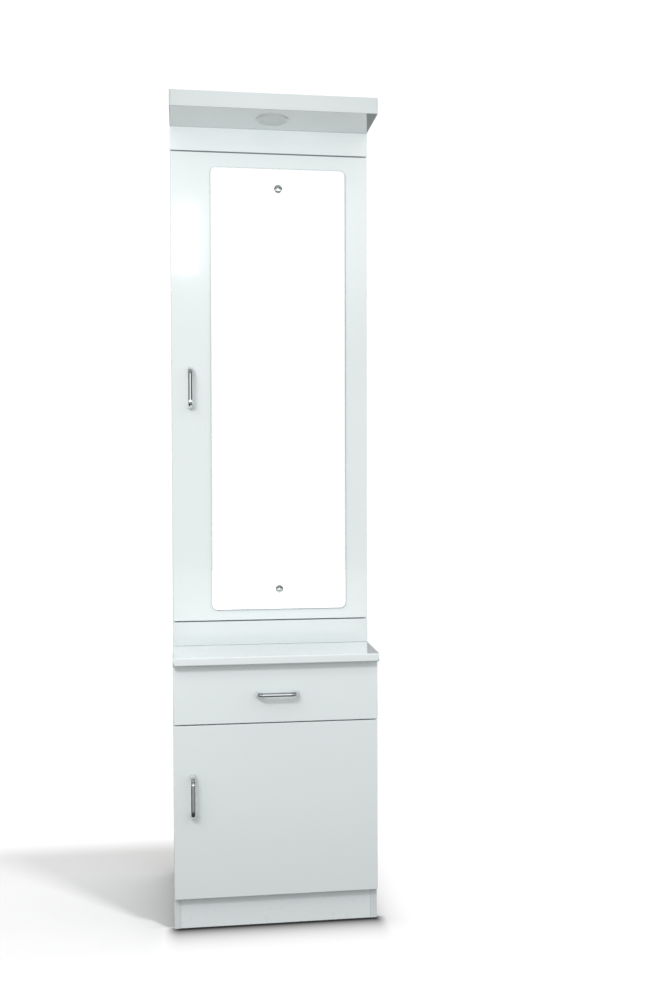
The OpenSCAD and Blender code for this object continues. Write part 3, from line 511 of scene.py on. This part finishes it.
for node in ("lower_bottom_board", "drawer_divider", "upper_bottom_board", "upper_top_board", "lower_shelf", "upper_shelves", "worktop_rails"):
    board(node, node + "_slab", "z", [satin, band, core], shelf_rule, 0.2)


def plinth_rule(n, c, lo, hi, inside):
    return 2 if inside or abs(n.z) > 0.9 or abs(n.x) > 0.9 else 0


board("plinth", "plinth_board", "y", [plinth_lit_white, band, core], plinth_rule, 0.2)


def drawer_rule(n, c, lo, hi, inside):
    if inside:
        return 2
    return 1 if n.z > 0.35 else (2 if n.z < -0.9 or abs(n.y) > 0.9 and hi.y - lo.y > 0.1 else 0)


board("drawer_sides", "drawer_box_sides", "x", [satin, band, core], drawer_rule, 0.2)
board("drawer_ends", "drawer_box_ends", "y", [satin, band, core], lambda n, c, lo, hi, inside: 2 if inside or n.z < -0.9 else (1 if n.z > 0.35 else 0), 0.2)


def back_rule(n, c, lo, hi, inside):
    return 0 if n.y < -0.9 else 1


for node in ("lower_back_panel", "upper_back_panel"):
    board(node, node + "_sheet", "y", [lacquer, hardboard], back_rule, 0)
board("drawer_bottom", "drawer_bottom_sheet", "z", [lacquer, hardboard], lambda n, c, lo, hi, inside: 0 if n.z > 0.9 else 1, 0)


# ------------------------------------------------------------------ bow handles
HANDLE_H, HANDLE_W = 27.0, 11.0


def quarter(a, s, b, q):
    """Point of a superelliptic quarter that starts upright at a and ends level at s."""
    return s + (a - s) * max(0.0, math.cos(q)) ** (2 / 2.3), b * max(0.0, math.sin(q)) ** (2 / 2.3)


def bow_lines(n=22, mid=10):
    """Pairs of points on the inner and the outer outline, from one foot to the other."""
    outer, inner = [], []
    for i in range(n + 1):
        q = math.pi / 2 * i / n
        outer.append(quarter(53.0, 30.0, HANDLE_H, q))
        inner.append(quarter(43.4, 28.0, HANDLE_H - 6.5, q))
    half = list(zip(inner, outer))
    run = []
    for i in range(1, mid):
        t = i / mid
        run.append(((28.0 * (1 - 2 * t), HANDLE_H - 6.5), (30.0 * (1 - 2 * t), HANDLE_H)))
    left = [((-p[0], p[1]), (-o[0], o[1])) for p, o in reversed(half)]
    return half + run + left


def bow(name, node, centre, along, across, front_y):
    """The handle's bar has a flat back and a crowned front."""
    along, across, out = Vector(along), Vector(across), Vector((0, -1, 0))
    base = Vector((centre[0], front_y, centre[1]))
    hw = HANDLE_W / 2
    # section: place across the bar and share of the way from the inner to the outer line
    sec = []
    k = 16
    for i in range(k + 1):
        t = math.pi * i / k
        x = -math.cos(t)
        h = max(0.0, math.sin(t)) ** (2 / 2.6)
        sec.append((x * hw, h))
    back = [(hw - 0.0, 0.10), (hw - 0.35, 0.035), (hw - 1.1, 0.0), (0.0, 0.0), (-hw + 1.1, 0.0), (-hw + 0.35, 0.035), (-hw + 0.0, 0.10)]
    bm = bmesh.new()
    rows = []
    for (iu, iv), (ou, ov) in bow_lines():
        # the crown is deep in the middle of the bar and shallow on the feet
        flat = min(1.0, ov / HANDLE_H) ** 2
        crown = min(0.84, (1.9 + 3.1 * flat) / math.hypot(ou - iu, ov - iv))
        row = []
        for x, s in [(x, 1 - crown * (1 - h)) for x, h in sec] + back:
            u, v = iu + (ou - iu) * s, iv + (ov - iv) * s
            row.append(bm.verts.new(base + (along * u + across * x + out * v) * MM))
        rows.append(row)
    m = len(rows[0])
    for a, b in zip(rows, rows[1:]):
        for i in range(m):
            j = (i + 1) % m
            bm.faces.new((a[i], a[j], b[j], b[i]))
    bm.faces.new(rows[0])
    bm.faces.new(rows[-1])
    bmesh.ops.recalc_face_normals(bm, faces=bm.faces)
    for f in bm.faces:
        f.smooth = True
    me = to_mesh(bm, name, 50)
    return put(name, me, [chrome], node)


def mid_of(node):
    lo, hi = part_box(node)
    return (lo + hi) / 2, lo, hi


for node, along in (("upper_handle", (0, 0, 1)), ("lower_handle", (0, 0, 1)), ("drawer_handle", (1, 0, 0))):
    m, lo, hi = mid_of(node)
    across = (1, 0, 0) if along[2] else (0, 0, 1)
    bow(node + "_bow", node, (m.x, m.z), along, across, hi.y)


# ------------------------------------------------------------------ mirror
def mirror():
    lo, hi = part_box("mirror_glass")
    r, c = 0.015, 0.0022
    y_front, y_back = lo.y, hi.y
    cx, cz = (lo.x + hi.x) / 2, (lo.z + hi.z) / 2
    w, h = (hi.x - lo.x) / 2, (hi.z - lo.z) / 2
    seg = 14

    def loop(inset, y):
        pts = []
        for sx, sz, a0 in ((1, 1, 0), (-1, 1, 90), (-1, -1, 180), (1, -1, 270)):
            for i in range(seg + 1):
                a = math.radians(a0 + 90 * i / seg)
                pts.append(Vector((cx + sx * (w - r) + (r - inset) * math.cos(a), y, cz + sz * (h - r) + (r - inset) * math.sin(a))))
        return pts

    holes = [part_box("mirror_caps")[0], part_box("mirror_caps")[1]]
    hx = (holes[0].x + holes[1].x) / 2
    hz = [holes[0].z + 0.0102, holes[1].z - 0.0102]
    hr, hn = 0.0035, 40
    bm = bmesh.new()

    def ring(points):
        return [bm.verts.new(p) for p in points]

    rings = [ring(loop(c, y_front)), ring(loop(0.0003, y_front + 0.0009)), ring(loop(0, y_front + 0.0013)), ring(loop(0, y_back - 0.0006)), ring(loop(0.0005, y_back))]
    for k, (a, b) in enumerate(zip(rings, rings[1:])):
        for i in range(len(a)):
            j = (i + 1) % len(a)
            f = bm.faces.new((a[i], a[j], b[j], b[i]))
            f.material_index = 2 if k == 0 else 1
            f.smooth = True
    circles = {}
    for y in (y_front, y_back):
        circles[y] = []
        for z in hz:
            circles[y].append(ring([Vector((hx + hr * math.cos(t), y, z + hr * math.sin(t))) for t in (2 * math.pi * i / hn for i in range(hn))]))
    for a, b in zip(circles[y_front], circles[y_back]):
        for i in range(hn):
            j = (i + 1) % hn
            f = bm.faces.new((a[i], a[j], b[j], b[i]))
            f.material_index = 1
            f.smooth = True
    for y, outer, mi in ((y_front, rings[0], 0), (y_back, rings[-1], 3)):
        edges = []
        for vs in [outer, *circles[y]]:
            for i in range(len(vs)):
                a, b = vs[i], vs[(i + 1) % len(vs)]
                e = bm.edges.get((a, b)) or bm.edges.new((a, b))
                edges.append(e)
        made = bmesh.ops.triangle_fill(bm, use_beauty=True, use_dissolve=False, edges=edges)
        for f in made["geom"]:
            if isinstance(f, bmesh.types.BMFace):
                f.material_index = mi
                f.smooth = True
    bmesh.ops.recalc_face_normals(bm, faces=bm.faces)
    me = to_mesh(bm, "mirror_pane", 20)
    ob = put("mirror_pane", me, [silver, glass_edge, arris, backing], "mirror_glass")
    weighted(ob)
    return hx, hz, y_front


cap_x, cap_zs, mirror_y = mirror()

# domed caps with a turned foot
bm = bmesh.new()
prof = [(0.0102, 0.0), (0.0102, 0.0007), (0.01, 0.0010), (0.0097, 0.0011), (0.0096, 0.0013)]
prof += [(0.0096 * math.cos(math.radians(a)), 0.0013 + 0.0054 * math.sin(math.radians(a))) for a in range(8, 90, 6)] + [(0.0, 0.0067)]
prof += [(0.0, 0.0057)] + [(0.0090 * math.cos(math.radians(a)), 0.0012 + 0.0045 * math.sin(math.radians(a))) for a in range(84, 0, -12)] + [(0.0092, 0.0)]
for z in cap_zs:
    part = lathe(prof, (0, -1, 0), (cap_x, mirror_y, z), 72)
    tmp = bpy.data.meshes.new("tmp")
    part.to_mesh(tmp)
    part.free()
    bm.from_mesh(tmp)
    bpy.data.meshes.remove(tmp)
put("mirror_cap_domes", to_mesh(bm, "mirror_cap_domes", 40), [satin_chrome], "mirror_caps")

# ------------------------------------------------------------------ downlight
blo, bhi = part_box("lamp_bezel")
lamp = Vector(((blo.x + bhi.x) / 2, (blo.y + bhi.y) / 2, blo.z + 0.0036))
R = (bhi.x - blo.x) / 2
RL = R - 0.0045
prof = [(0.0314, 0.003), (0.0314, -0.0012), (RL + 0.0001, -0.0012), (RL + 0.0001, -0.0029), (RL - 0.0015, -0.0029)]
prof += [(RL - 0.0014, -0.0032), (RL - 0.0011, -0.0035), (RL - 0.0006, -0.0036), (R - 0.0030, -0.0036)] + arc(R - 0.0030, -0.0006, 0.0030, 270, 360, 10) + [(R, 0.0), (0.0329, 0.0), (0.0329, 0.003)]
bm = lathe(prof, (0, 0, 1), lamp, 128)
put("lamp_bezel_ring", to_mesh(bm, "lamp_bezel_ring", 40), [enamel], "lamp_bezel")
prof = [(0.0, -0.00275), (0.012, -0.00277), (0.024, -0.00282), (RL - 0.002, -0.0029), (RL - 0.0003, -0.0029), (RL, -0.0026), (RL, -0.0015), (RL - 0.0003, -0.0012), (0.0, -0.0012)]
bm = lathe(prof, (0, 0, 1), lamp, 128)
put("lamp_lens_disc", to_mesh(bm, "lamp_lens_disc", 40), [frosted], "lamp_lens")

# ------------------------------------------------------------------ finishes of the nodes that keep their CAD shape
FINISH = {
    "floor_glides": grey_nylon, "corner_blocks": softwood, "shelf_pins": nickel, "dowels": beech, "cam_fittings": zinc,
    "lamp_can": spun, "lamp_capsule": quartz, "lamp_driver": case, "lamp_lead": rubber, "mains_gland": rubber, "block_screws": zinc,
    "runner_channels": powder, "runner_screws": nickel, "hinge_plates": nickel, "hinge_arms": nickel, "door_bumpers": gel,
    "front_rollers": nylon, "drawer_profiles": powder, "drawer_screws": nickel, "rear_rollers": nylon,
    "mirror_screws": nickel, "upper_handle_screws": nickel, "upper_hinge_cups": nickel, "upper_hinge_links": nickel,
    "lower_handle_screws": nickel, "lower_hinge_cups": nickel, "lower_hinge_links": nickel,
}
for node, m in FINISH.items():
    ob = N[node]
    if not ob.hide_render:
        ob.data.materials.clear()
        ob.data.materials.append(m.mat)
left = [n for n, o in N.items() if not o.hide_render and n not in FINISH]
if left:
    raise RuntimeError(f"nodes with no finish: {left}")

# ------------------------------------------------------------------ levels of the studio
LEVEL = dict(base=0.42, front=0.20, left=0.0, right=0.33, top=1.05, floor=0.33, key=10.3, soft=2.0, beam=58.0, spark=0.8, side=75.0, seen=1.06, dark=0.09, sky=0.25)

# ------------------------------------------------------------------ floor
def disc(name, radii, z, segments=96):
    bm = bmesh.new()
    centre = bm.verts.new((0, 0, z))
    last = None
    for r in radii:
        row = [bm.verts.new((r * math.cos(2 * math.pi * i / segments), r * math.sin(2 * math.pi * i / segments), z)) for i in range(segments)]
        for i in range(segments):
            j = (i + 1) % segments
            bm.faces.new((centre, row[i], row[j]) if last is None else (last[i], row[i], row[j], last[j]))
        last = row
    me = bpy.data.meshes.new(name)
    bm.to_mesh(me)
    bm.free()
    ob = bpy.data.objects.new(name, me)
    SCENE.objects.link(ob)
    return ob


class Sums:
    """Short calls for sums on the sockets of one node tree."""

    def __init__(self, nt):
        self.nt = nt

    def op(self, kind, *vals):
        n = self.nt.nodes.new("ShaderNodeMath")
        n.operation = kind
        for sock, v in zip(n.inputs, vals):
            if isinstance(v, bpy.types.NodeSocket):
                self.nt.links.new(v, sock)
            else:
                sock.default_value = v
        return n.outputs[0]

    def step(self, v, a, b):
        r = self.nt.nodes.new("ShaderNodeMapRange")
        r.interpolation_type = "SMOOTHSTEP"
        r.inputs["From Min"].default_value = a
        r.inputs["From Max"].default_value = b
        self.nt.links.new(v, r.inputs["Value"])
        return r.outputs["Result"]

    def range(self, v, lo, hi):
        r = self.nt.nodes.new("ShaderNodeMapRange")
        r.inputs["From Min"].default_value = 0.3
        r.inputs["From Max"].default_value = 0.7
        r.inputs["To Min"].default_value = lo
        r.inputs["To Max"].default_value = hi
        self.nt.links.new(v, r.inputs["Value"])
        return r.outputs["Result"]

    def emission(self, strength, kind="ShaderNodeEmission"):
        e = self.nt.nodes.new(kind)
        e.inputs["Color"].default_value = (1, 1, 1, 1)
        if isinstance(strength, bpy.types.NodeSocket):
            self.nt.links.new(strength, e.inputs["Strength"])
        else:
            e.inputs["Strength"].default_value = strength
        return e.outputs[0]

    def mix(self, fac, a, b):
        m = self.nt.nodes.new("ShaderNodeMixShader")
        self.nt.links.new(fac, m.inputs[0])
        self.nt.links.new(a, m.inputs[1])
        self.nt.links.new(b, m.inputs[2])
        return m.outputs[0]


floor = disc("studio_floor", (0.5, 1, 2, 3, 4, 6, 9), 0.0)
fm = Mat("studio_floor_white", IOR=1.45)
fm.p.inputs["Roughness"].default_value = 0.9
fm.p.inputs["Specular IOR Level"].default_value = 0.1
fm.bump((fm.noise(40, 3), 0.03, 0.0005))
fs = Sums(fm.nt)
# away from the object, and right in front of the base, the floor turns into plain white glow
fsep = fm.nt.nodes.new("ShaderNodeSeparateXYZ")
fm.link(fm.tc.outputs["Object"], fsep.inputs[0])
fx, fy = fsep.outputs["X"], fsep.outputs["Y"]
ahead_of = fs.op("MULTIPLY", fy, -1.0)
white = fs.step(fy, 0.36, 0.54)
white = fs.op("MAXIMUM", white, fs.step(fx, 0.24, 0.27))
front_white = fs.step(ahead_of, 0.150, 0.160)
white = fs.op("MAXIMUM", white, fs.op("MULTIPLY", front_white, fs.step(fx, -0.320, -0.235)))
white = fs.op("MAXIMUM", white, fs.step(ahead_of, 0.26, 0.44))
white = fs.op("MAXIMUM", white, fs.step(fs.op("MULTIPLY", fx, -1.0), 0.80, 1.5))
# painted contact shade round the base, strongest in front: a darkening by distance from the footprint, multiplied into
# the floor's colour and into its white glow
gap_x = fs.op("MAXIMUM", fs.op("SUBTRACT", fs.op("ABSOLUTE", fx), 0.25), 0.0)
gap_y = fs.op("MAXIMUM", fs.op("SUBTRACT", fs.op("ABSOLUTE", fs.op("SUBTRACT", fy, 0.0225)), 0.195), 0.0)
gap = fs.op("SQRT", fs.op("ADD", fs.op("MULTIPLY", gap_x, gap_x), fs.op("MULTIPLY", gap_y, gap_y)))
painted_shade_depth = fs.op("ADD", 0.20, fs.op("MULTIPLY", fs.step(fx, 0.10, 0.25), 0.20))
in_front = fs.op("MULTIPLY", fs.step(ahead_of, 0.150, 0.162), fs.op("SUBTRACT", 1.0, fs.step(fx, 0.244, 0.300)))
in_front = fs.op("MULTIPLY", in_front, fs.step(fx, -0.290, -0.235))
painted_shade_depth = fs.op("MAXIMUM", painted_shade_depth, fs.op("MULTIPLY", in_front, 0.97))
painted_contact_shade = fs.op("SUBTRACT", 1.0, fs.op("MULTIPLY", painted_shade_depth, fs.op("EXPONENT", fs.op("MULTIPLY", gap, -22.0))))
grey = fm.nt.nodes.new("ShaderNodeCombineColor")
for k in range(3):
    # the floor's grey, darkened near the base by the painted contact shade
    fm.link(fs.op("MULTIPLY", fs.range(fm.noise(3, 3), 0.67, 0.69), painted_contact_shade), grey.inputs[k])
fm.colour(grey.outputs[0])
flp = fm.nt.nodes.new("ShaderNodeLightPath")
# where the floor is white glow, the glow carries the painted contact shade as well
floor_look = fs.mix(white, fm.p.outputs[0], fs.emission(fs.op("MULTIPLY", painted_contact_shade, LEVEL["seen"])))
# what polished parts see of the floor: dim near the object, white far in front of it
flen = fm.nt.nodes.new("ShaderNodeVectorMath")
flen.operation = "LENGTH"
fm.link(fm.tc.outputs["Object"], flen.inputs[0])
near = fs.op("ADD", 0.05, fs.op("MULTIPLY", fs.step(ahead_of, 0.60, 1.25), 0.30))
away = fs.op("MULTIPLY", fs.step(flen.outputs["Value"], 2.4, 4.2), fs.step(ahead_of, -0.5, 0.5))
near = fs.op("ADD", near, fs.op("MULTIPLY", away, 0.45))
floor_refl = fs.emission(fs.op("ADD", near, fs.op("MULTIPLY", fs.step(ahead_of, 2.5, 4.5), LEVEL["seen"])))
floor_look = fs.mix(flp.outputs["Is Glossy Ray"], floor_look, floor_refl)
glow = fs.op("MULTIPLY", fs.op("ADD", 0.5, fs.op("MULTIPLY", fs.step(flen.outputs["Value"], 0.25, 1.8), 0.5)), LEVEL["floor"])
floor_all = fs.mix(flp.outputs["Is Diffuse Ray"], floor_look, fs.emission(glow))
fm.link(floor_all, fm.out.inputs["Surface"])
floor.data.materials.append(fm.mat)
fm.mat.cycles.emission_sampling = "NONE"

# ------------------------------------------------------------------ world: white to the eye, softer as a light
world = bpy.data.worlds.new("studio")
scene.world = world
world.use_nodes = True
world.cycles.sampling_method = "NONE"
wt = world.node_tree
wt.nodes.clear()
wo = wt.nodes.new("ShaderNodeOutputWorld")
lp = wt.nodes.new("ShaderNodeLightPath")
ws = Sums(wt)
wtc = wt.nodes.new("ShaderNodeTexCoord")
wsep = wt.nodes.new("ShaderNodeSeparateXYZ")
wt.links.new(wtc.outputs["Generated"], wsep.inputs[0])
wx, wy, wz = wsep.outputs["X"], wsep.outputs["Y"], wsep.outputs["Z"]
amb = ws.op("ADD", LEVEL["base"], ws.op("MULTIPLY", ws.op("POWER", ws.op("MAXIMUM", ws.op("MULTIPLY", wy, -1.0), 0.0), 5.0), LEVEL["front"]))
amb = ws.op("ADD", amb, ws.op("MULTIPLY", ws.op("MAXIMUM", ws.op("MULTIPLY", wx, -1.0), 0.0), LEVEL["left"]))
amb = ws.op("ADD", amb, ws.op("MULTIPLY", ws.op("MAXIMUM", wx, 0.0), LEVEL["right"]))
amb = ws.op("ADD", amb, ws.op("MULTIPLY", ws.op("MAXIMUM", wz, 0.0), LEVEL["top"]))
BACK = "ShaderNodeBackground"
# reflections: white where a ray leaves to the front, dim elsewhere, so that polished metal has both
ahead = ws.step(ws.op("MULTIPLY", wy, -1.0), 0.90, 0.955)
dusk = ws.op("ADD", LEVEL["dark"], ws.op("MULTIPLY", ws.op("MAXIMUM", wz, 0.0), LEVEL["sky"]))
dusk = ws.op("ADD", dusk, ws.op("MULTIPLY", ws.op("MAXIMUM", ws.op("MULTIPLY", wx, -1.0), 0.0), 0.12))
dusk = ws.op("MULTIPLY", dusk, ws.op("SUBTRACT", 1.0, ws.op("MULTIPLY", ws.step(wy, -0.1, 0.4), 0.6)))
# past the edge of the floor the backdrop goes on as light as the far floor, up to the horizon
below = ws.op("SUBTRACT", 1.0, ws.step(wz, -0.03, 0.01))
below = ws.op("MULTIPLY", below, ws.step(ws.op("MULTIPLY", wy, -1.0), 0.10, 0.40))
ahead = ws.op("MAXIMUM", ahead, below)
refl = ws.mix(ahead, ws.emission(dusk, BACK), ws.emission(LEVEL["seen"], BACK))
dim = ws.mix(lp.outputs["Is Glossy Ray"], ws.emission(amb, BACK), refl)
wt.links.new(ws.mix(lp.outputs["Is Camera Ray"], dim, ws.emission(LEVEL["seen"], BACK)), wo.inputs["Surface"])


# ------------------------------------------------------------------ lights
def area(name, pos, target, size, power, size_y=None, spread=None):
    ld = bpy.data.lights.new(name, "AREA")
    ld.shape = "RECTANGLE" if size_y else "SQUARE"
    ld.size = size
    if size_y:
        ld.size_y = size_y
    ld.energy = power
    if spread:
        ld.spread = math.radians(spread)
    ob = bpy.data.objects.new(name, ld)
    SCENE.objects.link(ob)
    ob.location = pos
    d = Vector(target) - Vector(pos)
    ob.rotation_euler = d.to_track_quat("-Z", "Y").to_euler()
    return ob


def spot(name, pos, target, radius, power, angle, blend=1.0):
    ld = bpy.data.lights.new(name, "SPOT")
    ld.energy = power
    ld.shadow_soft_size = radius
    ld.spot_size = math.radians(angle)
    ld.spot_blend = blend
    ob = bpy.data.objects.new(name, ld)
    SCENE.objects.link(ob)
    ob.location = pos
    ob.rotation_euler = (Vector(target) - Vector(pos)).to_track_quat("-Z", "Y").to_euler()
    return ob


# two lamps throw the shadows under the worktop and the handles
key = area("key", (-1.10, -2.15, 2.30), (0, -0.19, 0.80), 0.80, LEVEL["key"], size_y=0.22, spread=120)
soft = area("soft", (-1.60, -1.75, 3.20), (0, -0.10, 0.80), 0.90, LEVEL["soft"], spread=100)
# a narrow beam from below the canopy, for the frieze and the canopy's band
beam = spot("beam", (-0.15, -2.60, 1.55), (0.02, -0.02, 1.98), 0.12, LEVEL["beam"], 25)
for lamp_ob in (key, soft, beam):
    lamp_ob.visible_glossy = False
# a small lamp that only shows as the highlight on the mirror door
spark = area("spark", (-0.215, -2.20, 2.13), (-0.20, 0.0, 1.70), 0.13, LEVEL["spark"], size_y=0.30)
spark.visible_diffuse = False
unlit = bpy.data.collections.new("not_the_floor")
unlit.objects.link(floor)
unlit.collection_objects[0].light_linking.link_state = "EXCLUDE"
for lamp_ob in (key, soft, beam, spark):
    lamp_ob.light_linking.receiver_collection = unlit
# the two upper lamps are for the fronts: the canopy neither takes their light nor holds it back
passed = bpy.data.collections.new("canopy_parts")
for ob in scene.objects:
    if ob.type == "MESH" and ob.name.startswith(("canopy_", "lamp_")):
        passed.objects.link(ob)
for entry in passed.collection_objects:
    entry.light_linking.link_state = "EXCLUDE"
banded = bpy.data.collections.new("not_the_canopy")
for ob in [floor] + list(passed.objects):
    banded.objects.link(ob)
for entry in banded.collection_objects:
    entry.light_linking.link_state = "EXCLUDE"
for lamp_ob in (key, soft):
    lamp_ob.light_linking.blocker_collection = passed
    lamp_ob.light_linking.receiver_collection = banded
# the side light reaches the floor only
side = area("side_right", (1.45, -2.15, 1.75), (-0.4, 0.1, 0.0), 0.45, LEVEL["side"])
lit = bpy.data.collections.new("floor_light")
lit.objects.link(floor)
side.light_linking.receiver_collection = lit
